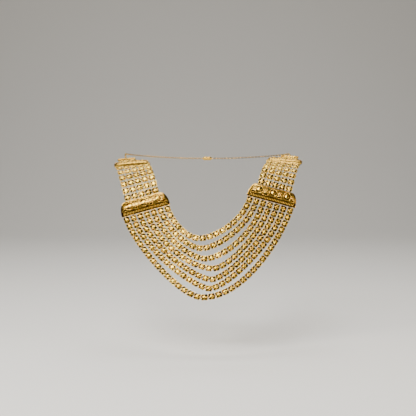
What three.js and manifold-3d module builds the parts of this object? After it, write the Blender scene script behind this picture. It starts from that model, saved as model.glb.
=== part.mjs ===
// Bib collar necklace of star links, at its real size. Millimetres, +Z up, the wearer faces -Y.
// The origin is the middle of the neck, level with the crest of the shoulders.
import * as THREE from 'three';
import { mergeVertices } from 'three/addons/utils/BufferGeometryUtils.js';
import Module from 'manifold-3d';

const wasm = await Module();
wasm.setup();

// How the straps lie over the shoulders
const STRAP_LEAN = THREE.MathUtils.degToRad(15.5); // each strap leans outward by this as it rises
const STRAP_FOOT_X = 95.5; // from the middle of the neck to a strap's foot
const SLIP = 7.5; // the collar has slipped this far along its own path, to the wearer's right
const FOOT_TO_CREST = 148; // from the foot of an even strap up to the crest of the shoulder
const CREST_Y = 24;

// The body's line from the crest down the front: its tilt from upright turns from one angle to the next
const BODY_LINE = [
  { length: 72, from: 78, to: 73 },
  { length: 42, from: 73, to: 20 },
  { length: 60, from: 20, to: 12 },
];

// The chest under the strands
const CHEST = { y: -85, z: -78, slope: 0.4, radius: 500 };

// Corners closer than this are one corner
const WELD = 1e-4;

// Links
const ROW_PITCH = 11; // from one strap row to the next, and from link to link along a row
const LINK_WIDTH = 9.7;
const LINK_NECK = 7; // width where two links join
const LINK_BACK = 0.8; // the back lies this far behind the link's middle plane
const LINK_FRONT = 1.4;
const FRONT_TAPER = 0.84; // the front face is this much narrower than the back
const GAP = 0.5;

// One link's outline, as shares of its length and of its width
const LINK_STATIONS = [
  { at: 0, full: 0 },
  { at: 0.2, full: 1 },
  { at: 0.8, full: 1 },
];

const WIDE_ROWS = 6;
const WIDE_ROW_LINKS = 5;
const NARROW_ROW_LINKS = 3;
const NARROW_SIZE = 0.8; // its links are this much of the size of the others
const NARROW_LIFT = 1.6; // the narrow row stands this much prouder than the wide ones
const NARROW_SHIFT = 4; // and this much nearer to the strap's outer edge

// Domed bars: half widths across the strap at the lower and the upper edge
const BAR_WALL = 1.1;
const LOWER_BAR = { height: 21.5, lowerHalf: 38, upperHalf: 27.5, dome: 5.4 };
const UPPER_BAR = { height: 16, lowerHalf: 28.5, upperHalf: 20, dome: 3.8 };
const BAR_STEPS_UP = 8;
const BAR_STEPS_ACROSS = 10;
const DOME_FULLNESS = 0.7; // below 1 the dome rises fast at its edges
const DOME_FLATNESS = 6; // the higher, the flatter the dome runs towards its ends

// Where each thing starts along a strap, measured from its foot
const ROWS_START = LOWER_BAR.height + GAP;
const UPPER_START = ROWS_START + WIDE_ROWS * ROW_PITCH;
const NARROW_START = UPPER_START + UPPER_BAR.height + GAP;
const NARROW_PITCH = ROW_PITCH * NARROW_SIZE;
const END_START = NARROW_START + NARROW_PITCH;

// The end bar and its balls
const END_BAR = { half: 12.4, rod: 1.3, ball: 2.2, loop: 1.9, wire: 0.55 };
const BALL_ARC = 3; // half the steps in a ball's outline
const BALL_SIDES = 10;
const LOOP_WIRE_SIDES = 5;
const LOOP_STEPS = 10;

// Strands: seven ports along the lower bar's foot, the innermost first
const PORT_PITCH = 10.7;
const MIDDLE_PORT = 4;
// lowX, lowZ: the lowest point. The other columns say how far a strand runs straight before it turns,
// below the wearer's right bar, each side of the lowest point, and below the wearer's left bar.
const STRANDS = [
  { links: 17, lowX: -12, lowZ: -125.5, rightBar: 22, rightLow: 22, leftLow: 22, leftBar: 42 },
  { links: 20, lowX: -8.5, lowZ: -140, rightBar: 30, rightLow: 22, leftLow: 22, leftBar: 47 },
  { links: 23, lowX: -3.5, lowZ: -155, rightBar: 39, rightLow: 22, leftLow: 25, leftBar: 57 },
  { links: 26, lowX: 9, lowZ: -169, rightBar: 40, rightLow: 39, leftLow: 22, leftBar: 50 },
  { links: 29, lowX: 6, lowZ: -184.5, rightBar: 51, rightLow: 24, leftLow: 22, leftBar: 57 },
  { links: 32, lowX: 4, lowZ: -197.5, rightBar: 54, rightLow: 22, leftLow: 23, leftBar: 62 },
  { links: 35, lowX: -7, lowZ: -210, rightBar: 40, rightLow: 34, leftLow: 69, leftBar: 33 },
];

// The fine chain round the back of the neck, from the end bar's loop to the clasp
const CHAIN_RADIUS = 1.5;
const CHAIN_SIDES = 8;
const CHAIN_STEPS = 20;
const CHAIN_POINTS = [
  { x: 133, y: 14, z: -2.0 },
  { x: 132, y: 40, z: -2.6 },
  { x: 121, y: 64, z: -5.0 },
  { x: 96, y: 86, z: -8.0 },
  { x: 62, y: 99, z: -10.5 },
  { x: 30, y: 104, z: -11.8 },
];
const CLASP = { half: 8, barrelHalf: 6, radius: 3, endRadius: 1.8, y: 105, z: -12 };
const CLASP_SIDES = 16;

const SIDES = [
  { name: 'right', sign: -1 }, // the wearer's right is at -X
  { name: 'left', sign: 1 },
];

/** A polished gold, which each piece gets as a material of its own. */
function gold(color, roughness) {
  return new THREE.MeshStandardMaterial({ color, roughness, metalness: 1 });
}

/** A blank whose every corner is moved to where `place` puts it. */
function shaped(blank, place) {
  const corners = blank.getAttribute('position');
  const corner = new THREE.Vector3();
  for (let i = 0; i < corners.count; i += 1) {
    corner.fromBufferAttribute(corners, i);
    const spot = place(corner.x, corner.y, corner.z);
    corners.setXYZ(i, spot.x, spot.y, spot.z);
  }
  return welded(blank);
}

/** The geometry with one vertex at each corner. */
function welded(geometry) {
  geometry.deleteAttribute('normal');
  geometry.deleteAttribute('uv');
  const merged = mergeVertices(geometry, WELD);
  merged.computeVertexNormals();
  return merged;
}

/** The geometry as a manifold-3d solid. */
function solid(geometry) {
  const merged = welded(geometry);
  return new wasm.Manifold(new wasm.Mesh({
    numProp: 3,
    vertProperties: new Float32Array(merged.getAttribute('position').array),
    triVerts: new Uint32Array(merged.getIndex().array),
  }));
}

/** A manifold-3d solid as a geometry. */
function skin(body) {
  const mesh = body.getMesh();
  const geometry = new THREE.BufferGeometry();
  geometry.setAttribute('position', new THREE.BufferAttribute(mesh.vertProperties, 3));
  geometry.setIndex(new THREE.BufferAttribute(mesh.triVerts, 1));
  geometry.computeVertexNormals();
  return geometry;
}

/** The place on the body's line at a distance down from the crest, and its tilt from upright. */
function bodyLine(distance) {
  let y = CREST_Y;
  let z = 0;
  let left = distance;
  let tilt = THREE.MathUtils.degToRad(BODY_LINE[0].from);
  for (const { length, from, to } of BODY_LINE) {
    const run = Math.min(left, length);
    const start = tilt;
    const turn = THREE.MathUtils.degToRad(to - from) / length;
    tilt = start + turn * run;
    y += (Math.cos(tilt) - Math.cos(start)) / turn;
    z -= (Math.sin(tilt) - Math.sin(start)) / turn;
    left -= run;
  }
  return { y, z, tilt };
}

/** The frame of a strap at a distance up from its foot: up the strap, across it, and out of its face. */
function strapFrame(sign, distance) {
  const risen = distance + sign * SLIP;
  const { y, z, tilt } = bodyLine(FOOT_TO_CREST - risen * Math.cos(STRAP_LEAN));
  const lean = Math.sin(STRAP_LEAN);
  const rise = Math.cos(STRAP_LEAN);
  const place = new THREE.Vector3(sign * (STRAP_FOOT_X + risen * lean), y, z);
  const up = new THREE.Vector3(sign * lean, rise * Math.sin(tilt), rise * Math.cos(tilt));
  const out = new THREE.Vector3(0, -Math.cos(tilt), Math.sin(tilt));
  const across = new THREE.Vector3().crossVectors(out, up);
  return { place, up, across, out };
}

/** The frame of a strap's narrow end, which stands prouder and nearer to the outer edge. */
function narrowFrame(sign, distance) {
  const frame = strapFrame(sign, distance);
  frame.place.addScaledVector(frame.out, NARROW_LIFT);
  frame.place.addScaledVector(frame.across, -sign * NARROW_SHIFT);
  return frame;
}

/** Seats a mesh, whose own X, Y and Z are up, across and out, in a frame. */
function seat(mesh, frame) {
  mesh.setRotationFromMatrix(new THREE.Matrix4().makeBasis(frame.up, frame.across, frame.out));
  mesh.position.copy(frame.place);
  return mesh;
}

/** A flat run of links. `along` gives the point, sideways and outward directions at a share of its length. */
function linkRun(links, along) {
  const stations = LINK_STATIONS.length;
  const blank = new THREE.BoxGeometry(1, 1, 1, links * stations, 1, 1);
  return shaped(blank, (x, y, z) => {
    const count = Math.round((x + 0.5) * links * stations);
    const station = LINK_STATIONS[count % stations];
    const share = (Math.floor(count / stations) + station.at) / links;
    const taper = z > 0 ? FRONT_TAPER : 1;
    const width = THREE.MathUtils.lerp(LINK_NECK, LINK_WIDTH, station.full) * taper;
    const height = z > 0 ? LINK_FRONT : -LINK_BACK;
    const { point, sideways, outward } = along(share);
    return point.addScaledVector(sideways, y * width).addScaledVector(outward, height);
  });
}

/** One straight row of links across a strap. `size` shrinks its outline. */
function row(name, links, size = 1) {
  const length = links * ROW_PITCH;
  const geometry = linkRun(links, (share) => ({
    point: new THREE.Vector3(0, (share - 0.5) * length, 0),
    sideways: new THREE.Vector3(-1, 0, 0),
    outward: new THREE.Vector3(0, 0, 1),
  }));
  geometry.scale(size, size, 1);
  const mesh = new THREE.Mesh(geometry, gold('#d9a941', 0.24));
  mesh.name = name;
  return mesh;
}

/** A domed bar: a thin pressed shell, open at the back, with rounded shoulders at its upper edge. */
function domedBar(name, { height, lowerHalf, upperHalf, dome }) {
  const blank = new THREE.BoxGeometry(1, 2, 1, BAR_STEPS_UP, BAR_STEPS_ACROSS, 1);
  const geometry = shaped(blank, (x, y, z) => {
    const share = x + 0.5;
    const shoulder = Math.sqrt(Math.max(0, 1 - share * share));
    const half = THREE.MathUtils.lerp(upperHalf, lowerHalf, shoulder);
    const bulge = Math.max(0, 1 - (2 * share - 1) ** 2) ** DOME_FULLNESS;
    const rise = dome * bulge * (1 - y ** DOME_FLATNESS) ** DOME_FULLNESS;
    return new THREE.Vector3(share * height, y * half, rise - LINK_BACK + (z > 0 ? BAR_WALL : 0));
  });
  const mesh = new THREE.Mesh(geometry, gold('#c9973a', 0.2));
  mesh.name = name;
  return mesh;
}

/** The end bar: a rod across the strap with a ball on each end and a loop for the chain, soldered up. */
function endBar(name) {
  const { half, rod, ball, loop, wire } = END_BAR;
  const outline = new THREE.Path();
  const joint = Math.asin(rod / ball);
  const reach = Math.cos(joint) * ball;
  outline.moveTo(0, -half - ball);
  outline.absarc(0, -half, ball, -Math.PI / 2, Math.PI / 2 - joint, false);
  outline.lineTo(rod, half - reach);
  outline.absarc(0, half, ball, -Math.PI / 2 + joint, Math.PI / 2, false);
  const body = new THREE.LatheGeometry(outline.getPoints(BALL_ARC), BALL_SIDES);
  const ring = new THREE.TorusGeometry(loop, wire, LOOP_WIRE_SIDES, LOOP_STEPS).translate(rod + loop, 0, 0);
  const mesh = new THREE.Mesh(skin(solid(body).add(solid(ring))), gold('#c9973a', 0.24));
  mesh.name = name;
  return mesh;
}

/** One strap, from its foot over the shoulder to its end bar. */
function strap({ name, sign }) {
  const group = new THREE.Group();
  group.add(seat(domedBar(`lower_bar_${name}`, LOWER_BAR), strapFrame(sign, 0)));
  for (let i = 0; i < WIDE_ROWS; i += 1) {
    const middle = ROWS_START + (i + 0.5) * ROW_PITCH;
    group.add(seat(row(`strap_row_${name}_${i + 1}`, WIDE_ROW_LINKS), strapFrame(sign, middle)));
  }
  group.add(seat(domedBar(`upper_bar_${name}`, UPPER_BAR), strapFrame(sign, UPPER_START)));
  const narrow = narrowFrame(sign, NARROW_START + NARROW_PITCH / 2);
  group.add(seat(row(`narrow_row_${name}`, NARROW_ROW_LINKS, NARROW_SIZE), narrow));
  group.add(seat(endBar(`end_bar_${name}`), narrowFrame(sign, END_START + END_BAR.ball)));
  return group;
}

/** Where a strand leaves the foot of a lower bar, counted from the innermost port. */
function port(sign, index) {
  const { place, up, across } = strapFrame(sign, 0);
  const outward = -sign * (index - MIDDLE_PORT) * PORT_PITCH;
  return { point: place.addScaledVector(across, outward).addScaledVector(up, -GAP), up };
}

/** A strand's route from the wearer's right bar down to its lowest point and up to the left bar. */
function strandRoute(index, { lowX, lowZ, rightBar, rightLow, leftLow, leftBar }) {
  const right = port(-1, index);
  const left = port(1, index);
  const low = new THREE.Vector3(lowX, CHEST.y + CHEST.slope * (lowZ - CHEST.z), lowZ);
  const beside = (shift) => low.clone().setX(lowX + shift);
  const below = (end, run) => end.point.clone().addScaledVector(end.up, -run);
  const route = new THREE.CurvePath();
  route.add(new THREE.CubicBezierCurve3(right.point, below(right, rightBar), beside(-rightLow), low));
  route.add(new THREE.CubicBezierCurve3(low, beside(leftLow), below(left, leftBar), left.point));
  return route;
}

/** One strand of links that lies on the chest. */
function strand(index, size) {
  const route = strandRoute(index, size);
  const geometry = linkRun(size.links, (share) => {
    const point = route.getPoint(share);
    const ahead = route.getTangent(share);
    const chestOut = new THREE.Vector3(point.x / CHEST.radius, -1, CHEST.slope);
    const sideways = new THREE.Vector3().crossVectors(chestOut, ahead).normalize();
    const outward = new THREE.Vector3().crossVectors(ahead, sideways);
    return { point, sideways, outward };
  });
  const mesh = new THREE.Mesh(geometry, gold('#e0b24c', 0.22));
  mesh.name = `strand_${index}`;
  return mesh;
}

/** The fine back chain of one side, as one tube along its route. */
function backChain({ name, sign }) {
  const { place, up } = narrowFrame(sign, END_START + END_BAR.ball);
  const start = END_BAR.rod + 2 * END_BAR.loop + END_BAR.wire + CHAIN_RADIUS;
  const points = [place.addScaledVector(up, start)];
  for (const { x, y, z } of CHAIN_POINTS) {
    points.push(new THREE.Vector3(sign * x, y, z));
  }
  points.push(new THREE.Vector3(sign * (CLASP.half + GAP), CLASP.y, CLASP.z));
  const section = new THREE.Shape();
  section.absarc(0, 0, CHAIN_RADIUS, 0, 2 * Math.PI, false);
  const geometry = new THREE.ExtrudeGeometry(section, {
    curveSegments: CHAIN_SIDES,
    steps: CHAIN_STEPS,
    extrudePath: new THREE.CatmullRomCurve3(points),
  });
  const mesh = new THREE.Mesh(welded(geometry), gold('#c9973a', 0.28));
  mesh.name = `back_chain_${name}`;
  return mesh;
}

/** The plain barrel clasp at the nape, with its axis along X. */
function clasp() {
  const { half, barrelHalf, radius, endRadius, y, z } = CLASP;
  const outline = [
    new THREE.Vector2(0, -half),
    new THREE.Vector2(endRadius, -half),
    new THREE.Vector2(radius, -barrelHalf),
    new THREE.Vector2(radius, barrelHalf),
    new THREE.Vector2(endRadius, half),
    new THREE.Vector2(0, half),
  ];
  const mesh = new THREE.Mesh(welded(new THREE.LatheGeometry(outline, CLASP_SIDES)), gold('#c9973a', 0.24));
  mesh.name = 'clasp';
  mesh.position.set(0, y, z);
  mesh.rotation.z = Math.PI / 2;
  return mesh;
}

const necklace = new THREE.Group();
STRANDS.forEach((size, i) => necklace.add(strand(i + 1, size)));
for (const side of SIDES) {
  necklace.add(strap(side));
  necklace.add(backChain(side));
}
necklace.add(clasp());

export default necklace;
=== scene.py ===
"""Looks of a gold bib collar necklace, built round its CAD frame.

Each CAD node is replaced by a detailed piece in the same place: rows and strands of cast star links,
domed bars of pierced sheet, end bars with balls, and a back chain of real wire links with its clasp.
Sizes are in millimetres until a mesh is made, and +X is the wearer's left.
"""

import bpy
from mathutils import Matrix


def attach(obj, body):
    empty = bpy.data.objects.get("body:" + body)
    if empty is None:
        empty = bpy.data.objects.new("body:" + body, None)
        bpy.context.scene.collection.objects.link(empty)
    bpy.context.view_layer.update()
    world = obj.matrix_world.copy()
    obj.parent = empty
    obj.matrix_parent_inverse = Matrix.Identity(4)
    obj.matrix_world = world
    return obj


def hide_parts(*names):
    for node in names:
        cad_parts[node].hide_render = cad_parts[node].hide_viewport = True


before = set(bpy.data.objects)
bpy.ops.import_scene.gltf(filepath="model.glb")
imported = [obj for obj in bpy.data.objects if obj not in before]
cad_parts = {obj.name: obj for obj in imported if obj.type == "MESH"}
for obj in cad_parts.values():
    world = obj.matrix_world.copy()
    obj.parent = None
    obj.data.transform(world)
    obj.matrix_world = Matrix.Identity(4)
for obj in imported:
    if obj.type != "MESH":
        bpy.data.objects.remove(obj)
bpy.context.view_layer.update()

import logging
import math
from dataclasses import dataclass, replace
from enum import Enum
from typing import Callable, Sequence

import bmesh
import bpy
import numpy as np
from mathutils import Vector
from mathutils.geometry import delaunay_2d_cdt

log = logging.getLogger("collar")

METRES = 0.001  # a millimetre in metres
TURN = 2 * math.pi
GAP = 0.5  # clear space between one piece and the next along a strap
ROW_PITCH = 11.0  # from one link to the next, and from one row to the next
LINK_BACK = 0.8  # how far below a strap's middle plane the bars' edges go
UPRIGHT = (0, 0, 1)

Amount = float | np.ndarray


class Side(Enum):
    """The wearer's right is at -X, and the wearer's left at +X."""

    RIGHT = -1
    LEFT = 1

    @property
    def word(self) -> str:
        """The side's name in a node's name."""
        return self.name.lower()


# ---------------------------------------------------------------- surfaces


def unit(v: np.ndarray) -> np.ndarray:
    """The vectors in `v` at length 1."""
    return v / np.linalg.norm(v, axis=-1, keepdims=True)


def blend(a: Amount, b: Amount, share: Amount) -> Amount:
    """The value at a share of the way from `a` to `b`."""
    return a + (b - a) * share


@dataclass(frozen=True)
class Seat:
    """Where a shape goes: its origin and the directions of its own three axes."""

    origin: np.ndarray
    x: np.ndarray
    y: np.ndarray
    z: np.ndarray

    def moved(self, x: float = 0, y: float = 0, z: float = 0) -> "Seat":
        """The seat shifted along its own axes."""
        return replace(self, origin=self.origin + x * self.x + y * self.y + z * self.z)

    def turned(self, roll: float, pitch: float) -> "Seat":
        """The seat rocked on its joints.

        Args:
            roll: a small angle about its own x, in radians.
            pitch: a small angle about its own y.

        Returns:
            The rocked seat.
        """
        z = unit(self.z - roll * self.y + pitch * self.x)
        x = unit(self.x - np.dot(self.x, z) * z)
        return replace(self, x=x, y=np.cross(z, x), z=z)


@dataclass
class Shape:
    """A surface of triangles.

    Attributes:
        points: one corner a row, in millimetres.
        faces: three corner numbers a row.
        recess: for each corner, how dark it is painted, from 0 on a rubbed crown to 1 down in a hollow:
            oxidation in the hollows, and painted shade under wires and balls, inside rings and towards the
            bars' feet.
        skin: for each face, which finish of the piece it has.
    """

    points: np.ndarray
    faces: np.ndarray
    recess: np.ndarray
    skin: np.ndarray

    def seated(self, seat: Seat) -> "Shape":
        """The shape carried to a seat."""
        axes = np.stack([seat.x, seat.y, seat.z])
        return replace(self, points=self.points @ axes + seat.origin)

    def shifted(self, x: float = 0, y: float = 0, z: float = 0) -> "Shape":
        """The shape moved without turning."""
        return replace(self, points=self.points + np.array([x, y, z]))

    def scaled(self, x: float = 1, y: float = 1, z: float = 1) -> "Shape":
        """The shape stretched along its axes."""
        return replace(self, points=self.points * np.array([x, y, z]))

    def mapped(self, place: Callable[[np.ndarray], np.ndarray]) -> "Shape":
        """The shape with each corner moved by `place`."""
        return replace(self, points=place(self.points))


def join(shapes: Sequence[Shape]) -> Shape:
    """Several shapes as one.

    Args:
        shapes: the shapes, in order.

    Returns:
        One shape with all their corners and faces.
    """
    starts = np.cumsum([0] + [len(s.points) for s in shapes[:-1]])
    return Shape(
        np.concatenate([s.points for s in shapes]),
        np.concatenate([s.faces + start for s, start in zip(shapes, starts)]),
        np.concatenate([s.recess for s in shapes]),
        np.concatenate([s.skin for s in shapes]),
    )


def lattice(
    points: np.ndarray, recess: Amount, round_u: bool = False, round_v: bool = False, skin: int = 0
) -> Shape:
    """A surface over rows and columns of points.

    Args:
        points: rows by columns by 3.
        recess: a number, or rows by columns of them.
        round_u: the last row meets the first.
        round_v: the last column meets the first.
        skin: the finish of all its faces.

    Returns:
        The surface.
    """
    rows, columns = points.shape[:2]
    index = np.arange(rows * columns).reshape(rows, columns)
    if round_u:
        index = np.vstack([index, index[:1]])
    if round_v:
        index = np.hstack([index, index[:, :1]])
    a, b, c, d = index[:-1, :-1], index[1:, :-1], index[1:, 1:], index[:-1, 1:]
    halves = [np.stack([a, b, c], -1), np.stack([a, c, d], -1)]
    faces = np.concatenate([half.reshape(-1, 3) for half in halves])
    depth = np.broadcast_to(recess, (rows, columns)).reshape(-1)
    return Shape(points.reshape(-1, 3), faces, depth.astype(float), np.full(len(faces), skin))


def fan(rim: np.ndarray, middle: np.ndarray, recess: float, skin: int = 0) -> Shape:
    """Triangles from each stretch of a closed rim to one middle point.

    Args:
        rim: the rim's points.
        middle: the point that they meet at.
        recess: how deep all of it lies.
        skin: the finish of all its faces.

    Returns:
        The surface.
    """
    count = len(rim)
    turn = np.arange(count)
    faces = np.stack([turn, np.roll(turn, -1), np.full(count, count)], -1)
    points = np.vstack([rim, middle])
    return Shape(points, faces, np.full(count + 1, float(recess)), np.full(count, skin))


def tube(
    path: np.ndarray,
    radius: Amount,
    normal: Sequence[float],
    sides: int = 8,
    closed: bool = False,
    underside_shade: float = 0.8,
    inner: float = 0.0,
) -> Shape:
    """A wire along a path.

    Args:
        path: the wire's middle line.
        radius: its radius, one number or one for each point of the path.
        normal: a direction square to the path that counts as the wire's top.
        sides: how many flats stand for its round section.
        closed: the path's end meets its start.
        underside_shade: how dark the underside is painted, as painted shade.
        inner: how dark the side within a closed path is painted, as painted shade.

    Returns:
        The wire, with its ends closed.
    """
    path = np.asarray(path, float)
    ahead = np.roll(path, -1, 0) - np.roll(path, 1, 0) if closed else np.gradient(path, axis=0)
    ahead = unit(ahead)
    side = unit(np.cross(np.broadcast_to(normal, path.shape), ahead))
    top = np.cross(ahead, side)
    angle = np.arange(sides) * TURN / sides
    size = np.broadcast_to(radius, len(path))[:, None, None]
    swing = np.cos(angle)[None, :, None] * side[:, None] + np.sin(angle)[None, :, None] * top[:, None]
    points = path[:, None] + size * swing
    # painted shade: darker on the wire's underside and on the side within a closed path
    recess = np.clip(np.maximum(-np.sin(angle) * underside_shade, np.cos(angle) * inner), 0, 1)[None]
    parts = [lattice(points, recess, closed, True)]
    if not closed:
        parts += [fan(points[0], path[0], 0.4), fan(points[-1], path[-1], 0.4)]
    return join(parts)


def circle(radius: float, steps: int, stretch: float = 1.0) -> np.ndarray:
    """Points round a circle in the XY plane, or an oval stretched along X."""
    angle = np.arange(steps) * TURN / steps
    return np.stack([radius * stretch * np.cos(angle), radius * np.sin(angle), 0 * angle], -1)


def ring(radius: float, wire: float, steps: int = 18, sides: int = 8, stretch: float = 1.0) -> Shape:
    """A wire ring lying flat, with painted shade on its inside."""
    return tube(circle(radius, steps, stretch), wire, UPRIGHT, sides, True, inner=1.0)


def standing_ring(radius: float, wire: float, stretch: float, steps: int = 14) -> Shape:
    """A wire ring standing on its edge along X."""
    path = circle(radius, steps, stretch)[:, [0, 2, 1]]
    # a light painted shade on the wire's underside
    return tube(path, wire, (0, 1, 0), 6, True, 0.3)


def ball(radius: float, sides: int = 10, rows: int = 6) -> Shape:
    """A ball.

    Args:
        radius: its radius.
        sides: how many flats go round it.
        rows: how many go from pole to pole.

    Returns:
        The ball, its middle at the origin.
    """
    rise = np.linspace(-0.5, 0.5, rows + 1)[:, None] * math.pi
    angle = np.arange(sides)[None] * TURN / sides
    flat = np.cos(rise)
    height = np.broadcast_to(np.sin(rise), (rows + 1, sides))
    points = np.stack([flat * np.cos(angle), flat * np.sin(angle), height], -1) * radius
    # painted shade: darker on the lower half, most at the bottom
    return lattice(points, np.clip(-height, 0, 1) * 0.7, False, True)


def star_reach(tip: float, waist: float, tips: int, sharp: float, steps: int) -> np.ndarray:
    """How far a star's outline lies from its middle, at each of `steps` angles from X."""
    angle = np.arange(steps) * TURN / steps
    return waist + (tip - waist) * np.abs(np.cos(angle * tips / 2)) ** sharp


def boss(reach: np.ndarray, profile: Sequence[tuple[float, float]]) -> Shape:
    """A raised boss.

    Args:
        reach: its outline's distance from the middle, at even angles.
        profile: (share of the reach, height) from the foot to the crown.

    Returns:
        The boss, painted darker towards its foot for oxidation and painted shade, and rubbed bright
        towards its crown.
    """
    angle = np.arange(len(reach)) * TURN / len(reach)
    flat = np.stack([reach * np.cos(angle), reach * np.sin(angle)], -1)
    rings = [np.column_stack([flat * share, np.full(len(reach), height)]) for share, height in profile]
    low, high = profile[0][1], profile[-1][1]
    depth = np.array([[1 - (height - low) / (high - low)] for _, height in profile]) ** 2
    body = lattice(np.stack(rings), depth, False, True)
    return join([body, fan(rings[-1], np.array([0, 0, high]), 0)])


# ---------------------------------------------------------------- finishes


def linear(code: str) -> tuple[float, float, float, float]:
    """An sRGB hex colour as the linear colour that shaders take.

    Args:
        code: the colour, such as "#ffcc00".

    Returns:
        Linear red, green and blue, and full alpha.
    """
    parts = [int(code[i : i + 2], 16) / 255 for i in (1, 3, 5)]
    turned = [c / 12.92 if c <= 0.04045 else ((c + 0.055) / 1.055) ** 2.4 for c in parts]
    return (*turned, 1.0)


def add_node(
    tree: bpy.types.NodeTree, kind: str, inputs: dict | None = None, **settings: object
) -> bpy.types.Node:
    """Adds a node.

    Args:
        tree: the material's node tree.
        kind: the node's Blender type.
        inputs: for each input by name or number, a value or the output to join to it.
        settings: the node's own properties.

    Returns:
        The new node.
    """
    node = tree.nodes.new(kind)
    for name, value in settings.items():
        setattr(node, name, value)
    for name, value in (inputs or {}).items():
        if isinstance(value, bpy.types.NodeSocket):
            tree.links.new(value, node.inputs[name])
        else:
            node.inputs[name].default_value = value
    return node


@dataclass(frozen=True)
class WorkedGold:
    """Yellow gold as it was worked: soft-edged highlights on its crowns, painted dark brown where it lies
    low, for oxidation in its hollows and painted shade under wires and towards the bars' feet.

    Attributes:
        name: the material's name.
        crown: the colour where it is rubbed bright.
        blush: the redder colour it drifts to.
        hollow: the dark brown painted where a corner lies low: thin brown oxidation in the hollows, and
            painted shade under wires and balls, inside rings and towards the bars' feet.
        polish: roughness on the crowns.
        dull: roughness in the hollows.
        ripple_mm: the size of the soft ripples that tumbling or pressing leaves.
        unevenness: how strongly those ripples show.
        drift_mm: how far apart the yellower and the redder places are.
        rag_mm: the grain of the ragged edge of that dark brown.
    """

    name: str
    crown: str
    blush: str
    hollow: str
    polish: float
    dull: float
    ripple_mm: float
    unevenness: float
    drift_mm: float = 12.0
    rag_mm: float = 1.6

    def material(self) -> bpy.types.Material:
        """Makes the material.

        Returns:
            A polished metal that is darker and duller where a corner lies low: oxidation in the hollows,
            painted shade under wires and towards the bars' feet.
        """
        made = bpy.data.materials.new(self.name)
        made.use_nodes = True
        tree = made.node_tree
        shader = tree.nodes["Principled BSDF"]
        shader.inputs["Metallic"].default_value = 1.0
        place = add_node(tree, "ShaderNodeTexCoord").outputs["Object"]
        # alloy and handling: broad drifts between a yellower and a redder gold
        drift = add_node(
            tree, "ShaderNodeTexNoise", {"Vector": place, "Scale": 1000 / self.drift_mm, "Detail": 2.0}
        )
        alloy = add_node(
            tree,
            "ShaderNodeMix",
            {0: drift.outputs["Fac"], 6: linear(self.crown), 7: linear(self.blush)},
            data_type="RGBA",
        )
        # oxidation in the hollows and painted shade under wires and towards the bars' feet: darker where a
        # corner lies low, with a ragged edge
        depth = add_node(tree, "ShaderNodeAttribute", attribute_name="recess").outputs["Fac"]
        rag = add_node(
            tree, "ShaderNodeTexNoise", {"Vector": place, "Scale": 1000 / self.rag_mm, "Detail": 3.0}
        )
        ragged = add_node(tree, "ShaderNodeMath", {0: depth, 1: rag.outputs["Fac"]}, operation="ADD")
        oxide_and_shade = add_node(
            tree,
            "ShaderNodeMapRange",
            {"Value": ragged.outputs[0], "From Min": 0.6, "From Max": 1.15, "To Min": 0.0, "To Max": 1.0},
        ).outputs["Result"]
        colour = add_node(
            tree,
            "ShaderNodeMix",
            {0: oxide_and_shade, 6: alloy.outputs[2], 7: linear(self.hollow)},
            data_type="RGBA",
        )
        rough = add_node(
            tree,
            "ShaderNodeMapRange",
            {"Value": oxide_and_shade, "To Min": self.polish, "To Max": self.dull},
        )
        # tumbling: ripples far smaller than a link, drawn coarser than life so that they hold in view
        ripple = add_node(
            tree, "ShaderNodeTexNoise", {"Vector": place, "Scale": 1000 / self.ripple_mm, "Detail": 2.0}
        )
        bump = add_node(
            tree,
            "ShaderNodeBump",
            {"Height": ripple.outputs["Fac"], "Strength": self.unevenness, "Distance": 0.0001},
        )
        tree.links.new(colour.outputs[2], shader.inputs["Base Color"])
        tree.links.new(rough.outputs["Result"], shader.inputs["Roughness"])
        tree.links.new(bump.outputs["Normal"], shader.inputs["Normal"])
        return made


# cast in a mould and tumbled: bright rounded crowns that flash, brown between them for oxidation and
# painted shade
CAST = WorkedGold(
    "cast_and_tumbled_gold",
    crown="#f3cb58",
    blush="#e2b142",
    hollow="#261504",
    polish=0.12,
    dull=0.5,
    ripple_mm=0.9,
    unevenness=0.2,
)
# the same casting from another pour, a shade paler
ROW_CAST = WorkedGold(
    "cast_row_gold",
    crown="#f4ce62",
    blush="#e4b44a",
    hollow="#281705",
    polish=0.13,
    dull=0.5,
    ripple_mm=0.9,
    unevenness=0.2,
)
# sheet pressed over a form and burnished: long uneven highlights along the dome
PRESSED = WorkedGold(
    "pressed_and_burnished_gold",
    crown="#eec354",
    blush="#d9a33a",
    hollow="#261404",
    polish=0.12,
    dull=0.4,
    ripple_mm=1.5,
    unevenness=0.45,
)
# wire drawn through a die: an even, slightly softer shine
DRAWN = WorkedGold(
    "drawn_wire_gold",
    crown="#eabf54",
    blush="#d8a53e",
    hollow="#301b06",
    polish=0.18,
    dull=0.45,
    ripple_mm=0.7,
    unevenness=0.2,
)
# painted shade: a nearly black gold with hardly any shine, laid in the eyelets and behind the bars'
# openings where only shade is seen
PAINTED_SHADE = WorkedGold(
    "painted_shade_gold",
    crown="#1c1006",
    blush="#120a04",
    hollow="#080402",
    polish=0.55,
    dull=0.75,
    ripple_mm=0.6,
    unevenness=0.3,
)


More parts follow.
